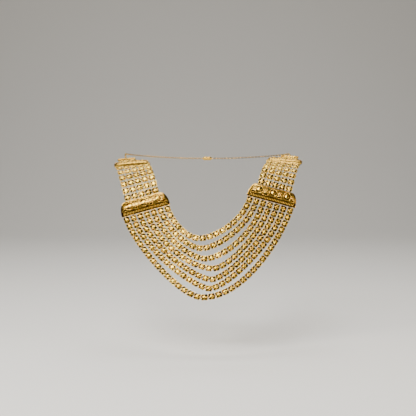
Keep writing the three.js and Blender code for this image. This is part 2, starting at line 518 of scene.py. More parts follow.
class Workshop:
    """Makes pieces from shapes and gives each its finishes."""

    def __init__(self) -> None:
        """Starts with no materials made."""
        self.stock: dict[str, bpy.types.Material] = {}

    def finish(self, kind: WorkedGold) -> bpy.types.Material:
        """The one material of a kind.

        Args:
            kind: the finish.

        Returns:
            Its material, made the first time.
        """
        if kind.name not in self.stock:
            self.stock[kind.name] = kind.material()
        return self.stock[kind.name]

    def piece(self, node: str, shape: Shape, kinds: Sequence[WorkedGold]) -> bpy.types.Object:
        """Makes the piece that stands for a CAD node.

        Args:
            node: the CAD node's name.
            shape: the piece's surface, in millimetres.
            kinds: its finishes, in the order of the shape's skins.

        Returns:
            The piece.
        """
        mesh = bpy.data.meshes.new(f"{node}_looks")
        mesh.from_pydata((shape.points * METRES).tolist(), [], shape.faces.tolist())
        mesh.polygons.foreach_set("material_index", shape.skin.astype(np.int32))
        mesh.polygons.foreach_set("use_smooth", np.ones(len(shape.faces), bool))
        held = mesh.attributes.new("recess", "FLOAT", "POINT")
        held.data.foreach_set("value", shape.recess.astype(np.float32))
        work = bmesh.new()
        work.from_mesh(mesh)
        bmesh.ops.recalc_face_normals(work, faces=work.faces)
        work.to_mesh(mesh)
        work.free()
        for kind in kinds:
            mesh.materials.append(self.finish(kind))
        made = bpy.data.objects.new(f"{node}_looks", mesh)
        bpy.context.scene.collection.objects.link(made)
        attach(made, "root")
        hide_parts(node)
        log.info("%s: %d triangles", made.name, len(shape.faces))
        return made


# ---------------------------------------------------------------- the star link


@dataclass(frozen=True)
class StarLink:
    """One cast link: four eyelets round a raised four-pointed star, on a web that is closed behind.

    Attributes:
        eye_x, eye_y: from the link's middle to an eyelet's middle, along and across.
        eye: an eyelet's outer radius.
        wire: radius of the eyelet's wire.
        wire_z: height of the eyelets' middle line.
        tip, waist: the star's reach at its points and between them.
        crown: height of the star's peak over the link's middle plane.
        ground, back: heights of the web's front and back.
        web_flat: from the middle to the web's straight ends.
        web_end, web_side: how far the web reaches, at least along the link and at most across it.
        bead: radius of the grains between the eyelets.
        bead_x, bead_y, bead_z: from the link's middle to the grains, along, across and up.
        joint_y: how far to each side the joint rings stand.
    """

    eye_x: float = 2.75
    eye_y: float = 2.62
    eye: float = 2.36
    wire: float = 0.5
    wire_z: float = 0.12
    tip: float = 3.6
    waist: float = 1.6
    crown: float = 1.3
    ground: float = -0.2
    back: float = -0.75
    web_flat: float = 5.32
    web_end: float = 5.3
    web_side: float = 4.4
    bead: float = 0.55
    bead_x: float = 4.75
    bead_y: float = 4.2
    bead_z: float = 0.2
    joint_y: float = 1.6

    def eyes(self) -> list[tuple[float, float]]:
        """The middles of the four eyelets."""
        return [(sx * self.eye_x, sy * self.eye_y) for sx in (-1, 1) for sy in (-1, 1)]

    def web_reach(self, angle: np.ndarray) -> np.ndarray:
        """How far the web reaches.

        Args:
            angle: directions from the link's middle, in radians from X.

        Returns:
            For each direction, the farthest of its straight ends and the four eyelets.
        """
        straight = np.minimum(self.web_flat / np.maximum(np.abs(np.cos(angle)), 1e-6), self.web_side)
        reach = np.where(np.abs(np.sin(angle)) < 0.5, np.maximum(straight, self.web_end), straight)
        for x, y in self.eyes():
            near = x * np.cos(angle) + y * np.sin(angle)
            room = (self.eye - 0.2) ** 2 - (x**2 + y**2 - near**2)
            reach = np.maximum(reach, np.where(room > 0, near + np.sqrt(np.maximum(room, 0)), 0))
        return reach

    def web(self) -> Shape:
        """The cast web that carries the eyelets, painted dark in front for oxidation and painted shade
        between the bosses, and plain gold behind.

        Returns:
            Its front, edge and back.
        """
        angle = np.arange(48) * TURN / 48
        reach = self.web_reach(angle)
        rim = np.stack([reach * np.cos(angle), reach * np.sin(angle), 0 * angle], -1)
        front, back = rim + (0, 0, self.ground), rim + (0, 0, self.back)
        return join(
            [
                fan(front, np.array([0, 0, self.ground]), 0.95),
                lattice(np.stack([front, back]), 0.5, False, True),
                fan(back, np.array([0, 0, self.back]), 0.1),
            ]
        )

    def pit(self) -> Shape:
        """A disc of painted shade on the floor of one eyelet, a hair above the web."""
        height = self.ground + 0.06
        rim = circle(self.eye - self.wire * 1.4, 14) + (0, 0, height)
        return fan(rim, np.array([0, 0, height]), 1, 1)

    def star(self) -> Shape:
        """The raised star, nearly flat on top so that it flashes."""
        reach = star_reach(self.tip, self.waist, tips=4, sharp=2.2, steps=32)
        return boss(reach, [(1.0, self.ground), (0.95, 0.7), (0.84, 1.12), (0.4, 1.25), (0.2, self.crown)])

    def shape(self) -> Shape:
        """The whole link.

        Returns:
            The link, along X.
        """
        parts = [self.web()]
        eyelet = ring(self.eye - self.wire, self.wire).shifted(z=self.wire_z)
        for x, y in self.eyes():
            parts += [eyelet.shifted(x=x, y=y), self.pit().shifted(x=x, y=y)]
        parts.append(self.star())
        grain = ball(self.bead, 8, 5).shifted(z=self.bead_z)
        spots = ((self.bead_x, 0), (-self.bead_x, 0), (0, self.bead_y), (0, -self.bead_y))
        parts += [grain.shifted(x=x, y=y) for x, y in spots]
        return join(parts)

    def joint(self) -> Shape:
        """The two small rings that join the link to the next."""
        one = standing_ring(radius=0.75, wire=0.26, stretch=1.35).shifted(x=ROW_PITCH / 2, z=0.05)
        return join([one.shifted(y=y) for y in (-self.joint_y, self.joint_y)])


class LinkMaker:
    """Lays rigid links in their seats, each rocked a little on its joints."""

    rock = 0.035  # how far links are rocked, in radians: most of them less than this

    def __init__(self, seed: int) -> None:
        """Makes the two templates, a plain link and one with its joint rings, and seeds the rocking."""
        self.link = StarLink().shape()
        self.joined = join([self.link, StarLink().joint()])
        self.chance = np.random.default_rng(seed)

    def lay(self, seats: Sequence[Seat], stretch: float = 1.0, size: float = 1.0) -> Shape:
        """Lays one link in each seat.

        Args:
            seats: where the links go.
            stretch: their pitch as a share of the plain link's.
            size: their size as a share of the plain link's.

        Returns:
            All of them as one shape.
        """
        laid = []
        for i, seat in enumerate(seats):
            template = self.link if i == len(seats) - 1 else self.joined
            roll, pitch = self.chance.normal(0, self.rock, 2)
            laid.append(template.scaled(stretch * size, size, size).seated(seat.turned(roll, pitch)))
        return join(laid)


# ---------------------------------------------------------------- where the straps lie


@dataclass(frozen=True)
class StrapLine:
    """One strap's path, from its foot up over the shoulder.

    Attributes:
        side: which shoulder.
        lean: how far the strap leans outward, in radians.
        foot_x: from the middle of the neck to the strap's foot.
        slip: how far the collar has slipped along its path to the wearer's right.
        foot_to_crest: from the foot up to the shoulder's crest, along the body.
        crest_y: how far behind the neck's middle the crest lies.
        body: (length, first tilt, last tilt) of each bend of the body down from the crest, with the
            tilts in degrees from upright.
        narrow_lift: how much prouder the narrow end stands.
        narrow_shift: how much nearer to the outer edge it stands.
    """

    side: Side
    lean: float = math.radians(15.5)
    foot_x: float = 95.5
    slip: float = 7.5
    foot_to_crest: float = 148.0
    crest_y: float = 24.0
    body: tuple[tuple[float, float, float], ...] = ((72, 78, 73), (42, 73, 20), (60, 20, 12))
    narrow_lift: float = 1.6
    narrow_shift: float = 4.0

    def body_line(self, distance: float) -> tuple[float, float, float]:
        """The Y, Z and tilt from upright at a distance down from the crest.

        Args:
            distance: how far down the body's line, at least 0.

        Returns:
            The place in Y and Z, and the tilt from upright in radians.
        """
        y, z, tilt = self.crest_y, 0.0, math.radians(self.body[0][1])
        for length, first, last in self.body:
            run, start = min(distance, length), tilt
            turn = math.radians(last - first) / length
            tilt = start + turn * run
            y += (math.cos(tilt) - math.cos(start)) / turn
            z -= (math.sin(tilt) - math.sin(start)) / turn
            distance -= run
        return y, z, tilt

    def seat(self, distance: float) -> Seat:
        """The seat at a distance up from the foot: x up the strap, y across it, z out of its face.

        Args:
            distance: how far up the strap.

        Returns:
            The seat.
        """
        sign = self.side.value
        risen = distance + sign * self.slip
        y, z, tilt = self.body_line(self.foot_to_crest - risen * math.cos(self.lean))
        lean, rise = math.sin(self.lean), math.cos(self.lean)
        up = np.array([sign * lean, rise * math.sin(tilt), rise * math.cos(tilt)])
        out = np.array([0, -math.cos(tilt), math.sin(tilt)])
        place = np.array([sign * (self.foot_x + risen * lean), y, z])
        return Seat(place, up, np.cross(out, up), out)

    def narrow_seat(self, distance: float) -> Seat:
        """A seat on the strap's narrow end, which stands prouder and nearer to the outer edge."""
        return self.seat(distance).moved(y=-self.side.value * self.narrow_shift, z=self.narrow_lift)


# ---------------------------------------------------------------- strap rows


@dataclass(frozen=True)
class LinkRow:
    """A straight rigid row of links across a strap.

    Attributes:
        node: the CAD node it stands for.
        seat: the row's middle.
        links: how many links it has.
        size: their size as a share of the plain link's.
        rails: whether smooth rails close it in, as on the narrow end.
        hanger_y: how far to each side of a link's middle its two hanging rings stand.
        rail, band: radii of the rails and of the band at their foot.
        rail_low, rail_high: where the rails start and end, down and up from the row's middle.
    """

    node: str
    seat: Seat
    links: int
    size: float = 1.0
    rails: bool = False
    hanger_y: float = 2.75
    rail: float = 0.95
    band: float = 1.0
    rail_low: float = -5.6
    rail_high: float = 5.4

    def build(self, maker: LinkMaker) -> Shape:
        """The row's links, and the small rings that hang it from the row above.

        Args:
            maker: lays the links.

        Returns:
            The whole row in its place.
        """
        pitch = ROW_PITCH * self.size
        seats = []
        parts = []
        for i in range(self.links):
            spot = self.seat.moved(y=(i + 0.5 - self.links / 2) * pitch)
            seats.append(replace(spot, x=spot.y, y=-spot.x))
            hanger = standing_ring(radius=0.75, wire=0.28, stretch=1.3)
            hanger = hanger.scaled(self.size, self.size, self.size)
            for y in (-self.hanger_y, self.hanger_y):
                parts.append(hanger.seated(spot.moved(x=pitch / 2, y=y * self.size)))
        parts.append(maker.lay(seats, 1.0, self.size))
        if self.rails:
            parts += self.make_rails()
        return join(parts)

    def make_rails(self) -> list[Shape]:
        """The smooth rails down both sides of a narrow row, and the plain band at its foot.

        Returns:
            The two rails and the band, in their places.
        """
        half = self.links * ROW_PITCH * self.size / 2 - 0.6
        rise = np.linspace(self.rail_low, self.rail_high, 6)
        parts = []
        for side in (-1, 1):
            path = np.stack([rise, 0 * rise + side * half, 0 * rise + 0.5], -1)
            parts.append(tube(path, self.rail, UPRIGHT, 12).seated(self.seat))
        along = np.linspace(-half, half, 10)
        band = tube(np.stack([0 * along, along, 0 * along], -1), self.band, UPRIGHT, 14)
        parts.append(band.scaled(1.25, 1, 0.8).shifted(x=-5.5, z=0.35).seated(self.seat))
        return parts

    def dress(self, shop: Workshop, shape: Shape) -> bpy.types.Object:
        """Gives the row its cast gold, and the painted shade in its eyelets."""
        return shop.piece(self.node, shape, (ROW_CAST, PAINTED_SHADE))


# ---------------------------------------------------------------- strands


@dataclass(frozen=True)
class Strand:
    """A strand of links hanging between the two lower bars and lying on the chest.

    Attributes:
        number: 1 is the innermost.
        links: how many links it has.
        low_x, low_z: its lowest point.
        right_bar, right_low, left_low, left_bar: lengths of its curve's handles at the bars and at the
            lowest point; the longer one is, the farther the strand runs nearly straight from there.
        port_pitch: from one strand's place on a bar's foot to the next.
        middle_port: the strand that hangs from the middle of the foot.
        chest: a point of the chest as (Y, Z), its slope, and its radius from side to side.
    """

    number: int
    links: int
    low_x: float
    low_z: float
    right_bar: float
    right_low: float
    left_low: float
    left_bar: float
    port_pitch: float = 10.7
    middle_port: int = 4
    chest: tuple[float, float, float, float] = (-85.0, -78.0, 0.4, 500.0)

    def port(self, side: Side) -> tuple[np.ndarray, np.ndarray]:
        """Where the strand leaves a bar's foot, and the way up from there.

        Args:
            side: which bar.

        Returns:
            The place, and the direction up the strap.
        """
        seat = StrapLine(side).seat(0)
        out = -side.value * (self.number - self.middle_port) * self.port_pitch
        return seat.moved(x=-GAP, y=out).origin, seat.x

    def route(self) -> np.ndarray:
        """Points close together along the strand.

        Returns:
            The points, from the wearer's right to the left.
        """
        y, z, slope, _ = self.chest
        low = np.array([self.low_x, y + slope * (self.low_z - z), self.low_z])
        (right, right_up), (left, left_up) = self.port(Side.RIGHT), self.port(Side.LEFT)
        aside = np.array([1.0, 0, 0])
        runs = (
            (right, right - right_up * self.right_bar, low - aside * self.right_low, low),
            (low, low + aside * self.left_low, left - left_up * self.left_bar, left),
        )
        t = np.linspace(0, 1, 400)[:, None]
        halves = []
        for a, b, c, d in runs:
            halves.append((1 - t) ** 3 * a + 3 * (1 - t) ** 2 * t * b + 3 * (1 - t) * t**2 * c + t**3 * d)
        return np.vstack([halves[0], halves[1][1:]])

    def build(self, maker: LinkMaker) -> Shape:
        """Lays the strand's links end to end by length along its route.

        Args:
            maker: lays the links.

        Returns:
            The whole strand in its place.
        """
        path = self.route()
        steps = np.linalg.norm(np.diff(path, axis=0), axis=1)
        run = np.concatenate([[0], np.cumsum(steps)])
        where = (np.arange(self.links) + 0.5) / self.links * run[-1]
        half = run[-1] / self.links / 2

        def at(distance: np.ndarray) -> np.ndarray:
            """The route's points at some distances along it."""
            return np.stack([np.interp(distance, run, path[:, k]) for k in range(3)], -1)

        ahead = unit(at(where + half) - at(where - half))
        middle = at(where)
        slope, radius = self.chest[2:]
        seats = []
        for point, x in zip(middle, ahead):
            chest_out = np.array([point[0] / radius, -1, slope])
            y = unit(np.cross(chest_out, x))
            seats.append(Seat(point, x, y, np.cross(x, y)))
        return maker.lay(seats, run[-1] / self.links / ROW_PITCH)

    def dress(self, shop: Workshop, shape: Shape) -> bpy.types.Object:
        """Gives the strand its cast gold, and the painted shade in its eyelets."""
        return shop.piece(f"strand_{self.number}", shape, (CAST, PAINTED_SHADE))


STRANDS = (
    # number, links, low_x, low_z, right_bar, right_low, left_low, left_bar
    Strand(1, 17, -12, -125.5, 22, 22, 22, 42),
    Strand(2, 20, -8.5, -140, 30, 22, 22, 47),
    Strand(3, 23, -3.5, -155, 39, 22, 25, 57),
    Strand(4, 26, 9, -169, 40, 39, 22, 50),
    Strand(5, 29, 6, -184.5, 51, 24, 22, 57),
    Strand(6, 32, 4, -197.5, 54, 22, 23, 62),
    Strand(7, 35, -7, -210, 40, 34, 69, 33),
)


# ---------------------------------------------------------------- domed bars


def inside(points: np.ndarray, loop: np.ndarray) -> np.ndarray:
    """Which points lie within a closed outline.

    Args:
        points: flat points, one a row.
        loop: the outline's corners in order.

    Returns:
        True for each point within.
    """
    x, y = points[:, 0, None], points[:, 1, None]
    a, b = loop, np.roll(loop, -1, 0)
    spans = (a[:, 1] > y) != (b[:, 1] > y)
    rise = np.where(b[:, 1] == a[:, 1], 1e-9, b[:, 1] - a[:, 1])
    cross = x < (b[:, 0] - a[:, 0]) * (y - a[:, 1]) / rise + a[:, 0]
    return (np.sum(spans & cross, axis=1) % 2).astype(bool)


def grown(loop: np.ndarray, share: float) -> np.ndarray:
    """An outline scaled about its middle."""
    middle = loop.mean(0)
    return middle + (loop - middle) * share


@dataclass(frozen=True)
class DomedBar:
    """A half-barrel pressed from sheet, pierced, set with bosses and edged with a rolled rim.

    Attributes:
        node: the CAD node it stands for.
        seat: the middle of its lower edge.
        height: up the strap.
        lower_half, upper_half: half its width at its lower and upper edges.
        dome: how far it swells.
        motif: size of its bosses as a share of the lower bar's.
        pitch: from one boss to the next along it.
        slots: how many small slots stand along its foot.
        rings: how many small rings hang below its foot.
        oxide_and_shade: how dark its foot is painted, as painted shade where the dome turns under.
        wall: thickness of the sheet.
        mesh_step: how far apart the sheet's corners are.
        boss_level: how far up the bosses stand, as a share of the height.
        drawn_in: where the last boss on each side stands, as a share of its even place.
        hoop: radius of the wire round a rosette.
        slot_inner, slot_outer: radii of the curved slots round a rosette.
        ring_pitch: from one hanging ring to the next.
    """

    node: str
    seat: Seat
    height: float
    lower_half: float
    upper_half: float
    dome: float
    motif: float
    pitch: float
    slots: int
    rings: int
    oxide_and_shade: float = 1.3
    wall: float = 1.1
    mesh_step: float = 0.75
    boss_level: float = 0.62
    drawn_in: float = 0.93
    hoop: float = 5.75
    slot_inner: float = 3.5
    slot_outer: float = 5.25
    ring_pitch: float = 5.35

    def half(self, s: np.ndarray) -> np.ndarray:
        """Half the bar's width at a height."""
        share = np.clip(s / self.height, 0, 1)
        return blend(self.upper_half, self.lower_half, np.sqrt(1 - share**2))

    def on_dome(self, points: np.ndarray) -> np.ndarray:
        """Carries points that are flat (up, across, proud) on to the swelling front face.

        Args:
            points: one a row.

        Returns:
            The points in the bar's own axes.
        """
        s, a, proud = points[:, 0], points[:, 1], points[:, 2]
        share = np.clip(s / self.height, 0, 1)
        y = np.clip(a / self.half(s), -1, 1)
        bulge = np.maximum(0, 1 - (2 * share - 1) ** 2) ** 0.7
        front = self.dome * bulge * (1 - y**6) ** 0.7 - LINK_BACK + self.wall
        return np.stack([s, a, front + proud], -1)

    def outline(self) -> np.ndarray:
        """The bar's flat outline, closed.

        Returns:
            Its corners in order, each as (up, across).
        """
        share = np.sin(np.linspace(0, math.pi / 2, 16))
        side = np.stack([share * self.height, self.half(share * self.height)], -1)
        across = np.linspace(-1, 1, 60)[1:-1]
        foot = np.stack([0 * across, across * self.lower_half], -1)
        top = np.stack([0 * across + self.height, -across * self.upper_half], -1)
        return np.vstack([foot, side, top, (side * (1, -1))[::-1]])

    def bosses(self) -> list[tuple[float, float, bool]]:
        """Each boss as (up, across, round): round rosettes and rayed stars by turns."""
        level = self.height * self.boss_level
        return [(level, self.along(k), k % 2 == 0) for k in range(-3, 4)]

    def foot_level(self) -> float:
        """How far up the openings below the bosses stand."""
        return self.height * self.boss_level - 6.2 * self.motif

    def along(self, k: int) -> float:
        """How far along the bar its k-th boss stands, with the last ones drawn in on the shoulders."""
        return k * self.pitch * (self.drawn_in if abs(k) == 3 else 1)

    def arc_slot(self, s: float, a: float, turn: float) -> np.ndarray:
        """The flat outline of a curved slot beside a boss.

        Args:
            s, a: the boss's middle, up and across.
            turn: which way the slot lies from it, in radians from straight up.

        Returns:
            Its corners in order.
        """
        inner, outer = self.slot_inner * self.motif, self.slot_outer * self.motif
        sweep = np.linspace(-0.58, 0.58, 9)
        out = np.stack([np.cos(turn + sweep), np.sin(turn + sweep)], -1) * outer
        back = np.stack([np.cos(turn + sweep), np.sin(turn + sweep)], -1)[::-1] * inner
        return np.vstack([out, back]) + (s, a)

    def half_moons(self) -> list[np.ndarray]:
        """The flat outlines of the half-moon openings below the stars, round side up.

        Returns:
            The corners of each in order.
        """
        sweep = np.linspace(-math.pi / 2, math.pi / 2, 13)
        size = 2.9 * self.motif
        arc = np.stack([np.cos(sweep), np.sin(sweep) * 1.15], -1) * size
        return [arc + (self.foot_level(), self.along(k)) for k in (-3, -1, 1, 3)]

    def fits(self, loop: np.ndarray) -> bool:
        """Whether an opening stands clear of the bar's edge."""
        return bool(inside(loop, self.outline() * (0.97, 0.95)).all())

    def openings(self) -> list[np.ndarray]:
        """All the openings cut through the sheet, as flat outlines.

        Returns:
            Those that fit within the bar's outline.
        """
        cut = []
        for s, a, is_round in self.bosses():
            turns = (45, 135, 225, 315) if is_round else (0,)
            cut += [self.arc_slot(s, a, math.radians(turn)) for turn in turns]
        cut += self.half_moons()
        for k in (-2, 0, 2):
            cut.append(circle(1.25 * self.motif, 12)[:, :2] + (self.foot_level() + 0.4, self.along(k)))
        for k in range(-3, 3):
            between = (self.along(k) + self.along(k + 1)) / 2
            cut.append(circle(0.95 * self.motif, 12)[:, :2] + (self.height - 3.9 * self.motif, between))
        wide = 2 * (self.lower_half - 3) / self.slots
        for i in range(self.slots):
            spot = (1.9, (i + 0.5 - self.slots / 2) * wide)
            cut.append(circle(0.62, 10, 1.5)[:, :2] + spot)
        return [loop for loop in cut if self.fits(loop)]

    def spread(self, edge: np.ndarray, cut: Sequence[np.ndarray]) -> np.ndarray:
        """Even points over the sheet, so that it can follow the dome.

        Args:
            edge: the bar's outline.
            cut: the openings' outlines.

        Returns:
            The points that are clear of both, each as (up, across).
        """
        across = np.arange(-self.lower_half, self.lower_half, self.mesh_step)
        up = np.arange(0.4, self.height, self.mesh_step)
        points = np.stack(np.meshgrid(up, across), -1).reshape(-1, 2)
        points = points[inside(points, edge * (1, 0.995))]
        for loop in cut:
            points = points[~inside(points, grown(loop, 1.12))]
        return points

    def pierced(self, edge: np.ndarray, cut: Sequence[np.ndarray]) -> tuple[np.ndarray, np.ndarray]:
        """The flat sheet with its openings left out.

        Args:
            edge: the bar's outline.
            cut: the openings' outlines.

        Returns:
            Its points, each as (up, across), and its triangles.
        """
        joins, start = [], 0
        for loop in (edge, *cut):
            count = len(loop)
            joins += [(start + i, start + (i + 1) % count) for i in range(count)]
            start += count
        given = [Vector(p) for p in np.vstack([edge, *cut, self.spread(edge, cut)])]
        found, _, faces, *_ = delaunay_2d_cdt(given, joins, [], 0, 1e-4)
        spots = np.array([tuple(p) for p in found])
        faces = np.array([f for f in faces if len(f) == 3])
        centres = spots[faces].mean(1)
        keep = inside(centres, edge)
        for loop in cut:
            keep &= ~inside(centres, loop)
        return spots, faces[keep]

    def sheet(self) -> Shape:
        """The pierced sheet, front and back faces with walls round every opening.

        Returns:
            The sheet, with painted shade towards its foot, where the dome turns under.
        """
        edge, cut = self.outline(), self.openings()
        spots, faces = self.pierced(edge, cut)
        front = self.on_dome(np.column_stack([spots, 0 * spots[:, 0]]))
        back = front - (0, 0, self.wall)
        # painted shade: darker towards the foot of the bar, where the dome turns under
        low = np.clip(self.oxide_and_shade - spots[:, 0] / (self.height * 0.4), 0.4, 1)
        none = np.zeros(len(faces), int)
        parts = [
            Shape(front, faces, low, none),
            Shape(back, faces[:, ::-1], np.full(len(back), 0.5), none),
        ]
        for loop in (edge, *cut):
            rim = self.on_dome(np.column_stack([loop, 0 * loop[:, 0]]))
            wall = np.stack([rim, rim - (0, 0, self.wall)])
            parts.append(lattice(wall, 0.6, False, True))
        return join(parts)

    def lining(self) -> Shape:
        """The thin sheet that closes the bar behind its openings, painted nearly black in front as the
        shade seen through them, and plain gold behind.

        Returns:
            Both faces of it.
        """
        grid = (14, 40)
        rows = np.linspace(0.3, self.height - 0.3, grid[0])
        share = np.linspace(-0.985, 0.985, grid[1])
        s = np.broadcast_to(rows[:, None], grid)
        flat = np.stack([s, share * self.half(rows)[:, None], 0 * s], -1)
        carried = self.on_dome(flat.reshape(-1, 3))
        carried[:, 2] = blend(-LINK_BACK + 0.1, carried[:, 2] - self.wall, 0.45)
        dark = lattice(carried.reshape(*grid, 3), 1.0, skin=1)
        return join([dark, lattice((carried - (0, 0, 0.2)).reshape(*grid, 3), 0.3)])

    def wire_on(self, loop: np.ndarray, radius: Amount, proud: float, closed: bool = True) -> Shape:
        """A wire laid on the dome along a flat line.

        Args:
            loop: the line's points, each as (up, across).
            radius: the wire's radius, one number or one for each point.
            proud: how far its middle stands off the face.
            closed: the line's end meets its start.

        Returns:
            The wire.
        """
        path = self.on_dome(np.column_stack([loop, np.full(len(loop), proud)]))
        return tube(path, radius, UPRIGHT, 8, closed)

    def crown(self, a: float, is_round: bool) -> Shape:
        """One boss at the origin: a round rosette, or a rayed star.

        Args:
            a: how far along the bar it will stand; the stars on the shoulders are smaller.
            is_round: it is a rosette.

        Returns:
            The boss.
        """
        if is_round:
            reach = star_reach(tip=3.45, waist=2.9, tips=8, sharp=0.7, steps=32) * self.motif
            return boss(reach, [(1.0, 0.0), (0.95, 0.7), (0.75, 1.05), (0.4, 1.15), (0.2, 1.25)])
        share = 0.75 if abs(a) > 2.5 * self.pitch else 1
        reach = star_reach(tip=4.7, waist=1.25, tips=8, sharp=2.2, steps=48) * self.motif * share
        return boss(reach, [(1.0, 0.0), (0.95, 0.6), (0.8, 0.95), (0.4, 1.1), (0.2, 1.2)])

    def ornament(self) -> list[Shape]:
        """The bosses, the wires round the openings, the rays along the foot and the rolled rim.

        Returns:
            Each as a shape in the bar's own axes.
        """
        parts = []
        for s, a, is_round in self.bosses():
            parts.append(self.crown(a, is_round).shifted(s, a).mapped(self.on_dome))
            hoop = circle(self.hoop * self.motif, 32)[:, :2] + (s, a)
            if is_round and inside(hoop, self.outline() * 0.97).all():
                parts.append(self.wire_on(hoop, radius=0.4, proud=0.2))
        for loop in filter(self.fits, self.half_moons()):
            parts.append(self.wire_on(grown(loop, 1.2), radius=0.5, proud=0.15))
        edge = self.outline()
        full = np.clip((edge[:, 0] / self.height - 0.15) / 0.4, 0, 1)
        parts.append(self.wire_on(edge, radius=blend(0.35, 0.8, full) * self.motif, proud=-0.1))
        top = np.linspace(-0.93, 0.93, 60)
        level = self.height - 2.3
        inner = np.stack([0 * top + level, top * self.half(level)], -1)
        parts.append(self.wire_on(inner, radius=0.3, proud=0.05, closed=False))
        parts += self.rays()
        return parts

    def rays(self) -> list[Shape]:
        """The spiky rays that stand side by side along the bar's foot, and the grains along its top.

        Returns:
            All of them, in the bar's own axes.
        """
        count = self.slots * 2
        wide = 2 * (self.lower_half - 3) / count
        reach = star_reach(tip=2.2, waist=0.55, tips=2, sharp=2.0, steps=12)
        spike = boss(reach, [(1.0, 0.0), (0.6, 0.45), (0.25, 0.6)])
        spots = [(3.1, (i + 0.5 - count / 2) * wide) for i in range(count)]
        ends = (-self.upper_half + 3, self.upper_half - 2)
        beads = [(self.height - 1.45, y) for y in np.arange(*ends, 1.9)]
        grain = ball(0.55, 8, 5)
        laid = [spike.shifted(*spot).mapped(self.on_dome) for spot in spots]
        return laid + [grain.shifted(*spot).mapped(self.on_dome) for spot in beads]

    def hangers(self) -> list[Shape]:
        """The small rings below the foot that hold what hangs from it."""
        hook = standing_ring(radius=0.8, wire=0.3, stretch=1.35)
        spots = [(i + 0.5 - self.rings / 2) * self.ring_pitch for i in range(self.rings)]
        return [hook.shifted(-0.4, spot, 0) for spot in spots]

    def build(self) -> Shape:
        """The whole bar, in its seat."""
        return join([self.sheet(), self.lining(), *self.ornament(), *self.hangers()]).seated(self.seat)

    def dress(self, shop: Workshop, shape: Shape) -> bpy.types.Object:
        """Gives the bar its burnished gold, and the painted shade on the front of its lining."""
        return shop.piece(self.node, shape, (PRESSED, PAINTED_SHADE))


# ---------------------------------------------------------------- end bars, chain and clasp


@dataclass(frozen=True)
class EndBar:
    """The rod across a strap's narrow end, with a ball at each end, a row of beads and a chain loop.

    Attributes:
        node: the CAD node it stands for.
        seat: the rod's middle.
        half: from the rod's middle to a ball's middle.
        rod, ball, bead: radii of the rod, the balls and the beads.
        beads: how many beads sit on the rod.
        loop: radius of the chain loop's middle line.
        wire: radius of its wire.
    """

    node: str
    seat: Seat
    half: float = 12.4
    rod: float = 1.3
    ball: float = 2.2
    bead: float = 1.75
    beads: int = 5
    loop: float = 1.9
    wire: float = 0.55

    def build(self) -> Shape:
        """The end bar in its seat.

        Returns:
            The rod, balls, collars, beads and loop.
        """
        along = np.linspace(-self.half, self.half, 16)
        # the rod's underside lightly in painted shade
        parts = [tube(np.stack([0 * along, along, 0 * along], -1), self.rod, UPRIGHT, 16, underside_shade=0.5)]
        parts += [ball(self.ball, 24, 14).shifted(y=side * self.half) for side in (-1, 1)]
        for i in range(self.beads):
            place = (i - self.beads // 2) * self.half * 0.34
            parts.append(ball(self.bead, 16, 10).shifted(x=0.2, y=place, z=0.75))
        up, across, out = np.eye(3)
        for side in (-1, 1):
            around = Seat(side * (self.half - 2.1) * across, out, up, across)
            parts.append(ring(1.45, 0.4).seated(around))
        parts.append(ring(self.loop, self.wire, 24, 10).shifted(x=self.rod + self.loop))
        return join(parts).seated(self.seat)

    def dress(self, shop: Workshop, shape: Shape) -> bpy.types.Object:
        """Gives the end bar its burnished gold."""
        return shop.piece(self.node, shape, (PRESSED,))


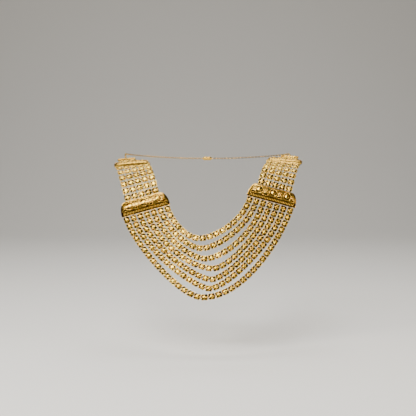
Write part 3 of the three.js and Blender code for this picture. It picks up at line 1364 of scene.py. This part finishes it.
@dataclass(frozen=True)
class BackChain:
    """One side's fine chain of round-wire links, from the end bar's loop to the clasp.

    Attributes:
        side: which side.
        points: where the chain lies on the shoulder and the nape, on the wearer's left.
        radius: half a link's width.
        pitch: from one link to the next.
        wire: radius of the wire.
    """

    side: Side
    points: tuple[tuple[float, float, float], ...] = (
        (133, 14, -2.0),
        (132, 40, -2.6),
        (121, 64, -5.0),
        (96, 86, -8.0),
        (62, 99, -10.5),
        (30, 104, -11.8),
    )
    radius: float = 1.5
    pitch: float = 3.0
    wire: float = 0.42

    def route(self, start: np.ndarray, end: np.ndarray) -> np.ndarray:
        """A smooth line from the loop through the chain's points to the clasp.

        Args:
            start: where it leaves the end bar's loop.
            end: where it meets the clasp.

        Returns:
            Points close together along it.
        """
        middle = [np.array([self.side.value * x, y, z]) for x, y, z in self.points]
        knots = [start, *middle, end]
        knots = [2 * knots[0] - knots[1], *knots, 2 * knots[-1] - knots[-2]]
        t = np.linspace(0, 1, 40, endpoint=False)[:, None]
        runs = []
        for a, b, c, d in zip(knots, knots[1:], knots[2:], knots[3:]):
            before, gap, after = (math.sqrt(np.linalg.norm(q - p)) for p, q in ((a, b), (b, c), (c, d)))
            leave = ((b - a) / before - (c - a) / (before + gap) + (c - b) / gap) * gap
            reach = ((c - b) / gap - (d - b) / (gap + after) + (d - c) / after) * gap
            square = 3 * (c - b) - 2 * leave - reach
            cube = 2 * (b - c) + leave + reach
            runs.append(b + leave * t + square * t**2 + cube * t**3)
        return np.vstack([*runs, end[None]])

    def build(self, start: np.ndarray, end: np.ndarray) -> Shape:
        """Lays oval links along the route, each turned a quarter from the last.

        Args:
            start: where it leaves the end bar's loop.
            end: where it meets the clasp.

        Returns:
            The whole chain of one side.
        """
        path = self.route(start, end)
        run = np.concatenate([[0], np.cumsum(np.linalg.norm(np.diff(path, axis=0), axis=1))])
        count = round(run[-1] / self.pitch)
        where = (np.arange(count) + 0.5) / count * run[-1]
        middle = np.stack([np.interp(where, run, path[:, k]) for k in range(3)], -1)
        ahead = unit(np.gradient(middle, axis=0))
        wide = self.radius - self.wire
        long = (run[-1] / count / 2 + self.wire * 0.9) / wide
        link = ring(wide, self.wire, 16, 7, long)
        laid = []
        for i, (point, x) in enumerate(zip(middle, ahead)):
            flat = unit(np.cross(UPRIGHT, x))
            tall = np.cross(x, flat)
            y, z = (flat, tall) if i % 2 else (tall, -flat)
            laid.append(link.seated(Seat(point, x, y, z)))
        return join(laid)

    def dress(self, shop: Workshop, shape: Shape) -> bpy.types.Object:
        """Gives the chain its drawn gold."""
        return shop.piece(f"back_chain_{self.side.word}", shape, (DRAWN,))


@dataclass(frozen=True)
class Clasp:
    """The plain barrel clasp at the nape, its axis along X.

    Attributes:
        half: half its length.
        radius: the barrel's radius.
        y, z: its place.
        sides: how many flats stand for its round section.
    """

    half: float = 8.0
    radius: float = 3.0
    y: float = 105.0
    z: float = -12.0
    sides: int = 28

    def end(self, side: Side) -> np.ndarray:
        """Where a side's chain ends."""
        return np.array([side.value * (self.half + GAP), self.y, self.z])

    def build(self) -> Shape:
        """The turned barrel with a bead at each end and a fine groove where its halves meet.

        Returns:
            The clasp in its place.
        """
        bead = [(0, 0.05), (0, 1.5), (0.6, 1.9), (1.4, 1.7), (2, self.radius)]
        groove = [(-0.6, self.radius), (-0.35, self.radius - 0.4)]
        outline = [(x - self.half, r) for x, r in bead] + groove
        outline += [(-x, r) for x, r in outline[::-1]]
        along, reach = np.array(outline).T
        angle = np.arange(self.sides) * TURN / self.sides
        spin = np.stack([np.cos(angle), np.sin(angle)], -1)
        rings = reach[:, None, None] * spin[None]
        x = np.broadcast_to(along[:, None, None], (len(along), self.sides, 1))
        body = lattice(np.concatenate([x, rings], -1), 0.1, False, True)
        return body.shifted(y=self.y, z=self.z)

    def dress(self, shop: Workshop, shape: Shape) -> bpy.types.Object:
        """Gives the clasp its drawn gold."""
        return shop.piece("clasp", shape, (DRAWN,))


# ---------------------------------------------------------------- straps


@dataclass(frozen=True)
class Strap:
    """Everything on one shoulder.

    Attributes:
        side: which shoulder.
        rows: how many rows of links lie between the two bars.
        lower_height, upper_height: how far the bars reach up the strap.
        narrow_size: the narrow end's links as a share of the plain ones.
    """

    side: Side
    rows: int = 6
    lower_height: float = 21.5
    upper_height: float = 16.0
    narrow_size: float = 0.8

    @property
    def line(self) -> StrapLine:
        """The path that the strap lies along."""
        return StrapLine(self.side)

    @property
    def rows_start(self) -> float:
        """How far up the rows start."""
        return self.lower_height + GAP

    @property
    def upper_start(self) -> float:
        """How far up the upper bar starts."""
        return self.rows_start + self.rows * ROW_PITCH

    @property
    def narrow_start(self) -> float:
        """How far up the narrow end starts."""
        return self.upper_start + self.upper_height + GAP

    def end_seat(self) -> Seat:
        """Where the end bar sits."""
        return self.line.narrow_seat(self.narrow_start + ROW_PITCH * self.narrow_size + 2.2)

    def build(self, shop: Workshop, maker: LinkMaker) -> None:
        """Makes and dresses the strap's bars, rows and end bar.

        Args:
            shop: makes the pieces.
            maker: lays the links.
        """
        word, line = self.side.word, self.line
        lower = DomedBar(
            f"lower_bar_{word}",
            line.seat(0),
            self.lower_height,
            lower_half=38,
            upper_half=27.5,
            dome=5.4,
            motif=1.0,
            pitch=11.0,
            slots=14,
            rings=14,
        )
        lower.dress(shop, lower.build())
        for i in range(self.rows):
            seat = line.seat(self.rows_start + (i + 0.5) * ROW_PITCH)
            row = LinkRow(f"strap_row_{word}_{i + 1}", seat, links=5)
            row.dress(shop, row.build(maker))
        upper = DomedBar(
            f"upper_bar_{word}",
            line.seat(self.upper_start),
            self.upper_height,
            lower_half=28.5,
            upper_half=20,
            dome=3.8,
            motif=0.76,
            pitch=9.0,
            slots=10,
            rings=10,
            # a lighter painted shade at the upper bar's foot
            oxide_and_shade=0.6,
        )
        upper.dress(shop, upper.build())
        seat = line.narrow_seat(self.narrow_start + ROW_PITCH * self.narrow_size / 2)
        narrow = LinkRow(f"narrow_row_{word}", seat, links=3, size=self.narrow_size, rails=True)
        narrow.dress(shop, narrow.build(maker))
        end = EndBar(f"end_bar_{word}", self.end_seat())
        end.dress(shop, end.build())


# ---------------------------------------------------------------- studio


@dataclass(frozen=True)
class Softbox:
    """A soft rectangular lamp aimed at the collar.

    Attributes:
        name: the lamp's name.
        place: where it hangs, in metres.
        wide, tall: its size in metres.
        watts: its power.
        tint: its colour.
    """

    name: str
    place: tuple[float, float, float]
    wide: float
    tall: float
    watts: float
    tint: str

    def hang(self, aim: Vector) -> None:
        """Hangs the lamp.

        Args:
            aim: the place that it faces.
        """
        data = bpy.data.lights.new(self.name, "AREA")
        data.shape = "RECTANGLE"
        data.size, data.size_y = self.wide, self.tall
        data.energy, data.color = self.watts, linear(self.tint)[:3]
        lamp = bpy.data.objects.new(self.name, data)
        lamp.location = self.place
        lamp.rotation_euler = (aim - Vector(self.place)).to_track_quat("-Z", "Y").to_euler()
        bpy.context.scene.collection.objects.link(lamp)


class Studio:
    """The pale floor, the soft lamps and the camera, in metres."""

    aim = Vector((0.0012, -0.05, -0.084))
    floor_z, floor_front, floor_top = -0.3, -6.0, 3.0
    bend_y, bend_radius = 1.4, 1.0
    surround = 0.08
    camera_distance, camera_rise = 1.54, math.radians(5)
    lens_mm, sensor_mm = 85, 36
    lamps = (
        Softbox("key_left_high", (-0.9, -0.9, 0.75), 0.35, 0.35, 12, "#fffaf0"),
        Softbox("side_right", (0.95, -0.6, 0.2), 0.2, 0.5, 5, "#fff4e2"),
        Softbox("front_high", (-0.42, -1.28, 0.95), 0.8, 0.27, 27, "#ffffff"),
        Softbox("steep_front", (-0.25, -0.7, 1.2), 0.5, 0.3, 9, "#ffffff"),
        Softbox("top_soft", (0.0, 0.15, 1.1), 0.45, 0.45, 6, "#ffffff"),
        Softbox("backdrop_wash", (0.0, 0.7, 1.6), 1.2, 1.2, 22, "#ffffff"),
    )

    def floor(self) -> None:
        """A plain pale floor that curves up behind."""
        run = [(self.floor_front, self.floor_z), (self.bend_y, self.floor_z)]
        for turn in np.radians(np.linspace(0, 90, 13))[1:]:
            out, up = math.sin(turn) * self.bend_radius, (1 - math.cos(turn)) * self.bend_radius
            run.append((self.bend_y + out, self.floor_z + up))
        run.append((self.bend_y + self.bend_radius, self.floor_top))
        points = np.array([[(x, y, z) for x in (-4, 4)] for y, z in run], float)
        shape = lattice(points, 0)
        mesh = bpy.data.meshes.new("floor")
        mesh.from_pydata(shape.points.tolist(), [], shape.faces.tolist())
        mesh.polygons.foreach_set("use_smooth", np.ones(len(shape.faces), bool))
        made = bpy.data.objects.new("floor", mesh)
        bpy.context.scene.collection.objects.link(made)
        paint = bpy.data.materials.new("matt_pale_paint")
        paint.use_nodes = True
        shader = paint.node_tree.nodes["Principled BSDF"]
        shader.inputs["Base Color"].default_value = linear("#d9d6d0")
        shader.inputs["Roughness"].default_value = 0.8
        mesh.materials.append(paint)

    def air(self) -> None:
        """A dim even surround, which the gold mirrors as its darks."""
        world = bpy.context.scene.world or bpy.data.worlds.new("studio")
        bpy.context.scene.world = world
        world.use_nodes = True
        back = world.node_tree.nodes["Background"]
        back.inputs["Color"].default_value = linear("#b9b4ac")
        back.inputs["Strength"].default_value = self.surround

    def camera(self) -> None:
        """The camera, a little above the collar's middle and straight in front."""
        data = bpy.data.cameras.new("camera")
        data.lens, data.sensor_width = self.lens_mm, self.sensor_mm
        seen = bpy.data.objects.new("camera", data)
        rise = self.camera_rise
        seen.location = self.aim + Vector((0, -math.cos(rise), math.sin(rise))) * self.camera_distance
        seen.rotation_euler = (math.pi / 2 - rise, 0, 0)
        bpy.context.scene.collection.objects.link(seen)
        bpy.context.scene.camera = seen

    def build(self) -> None:
        """Sets up the whole studio."""
        self.floor()
        self.air()
        for lamp in self.lamps:
            lamp.hang(self.aim)
        self.camera()


def main() -> None:
    """Builds the collar piece by piece and the studio round it."""
    logging.basicConfig(level=logging.INFO, format="%(name)s %(message)s")
    shop = Workshop()
    maker = LinkMaker(seed=7)
    for strand in STRANDS:
        strand.dress(shop, strand.build(maker))
    clasp = Clasp()
    clasp.dress(shop, clasp.build())
    for side in Side:
        strap = Strap(side)
        strap.build(shop, maker)
        chain = BackChain(side)
        loop_end = EndBar.rod + 2 * EndBar.loop + EndBar.wire
        start = strap.end_seat().moved(x=loop_end + BackChain.radius).origin
        chain.dress(shop, chain.build(start, clasp.end(side)))
    Studio().build()


if __name__ == "__main__":
    main()
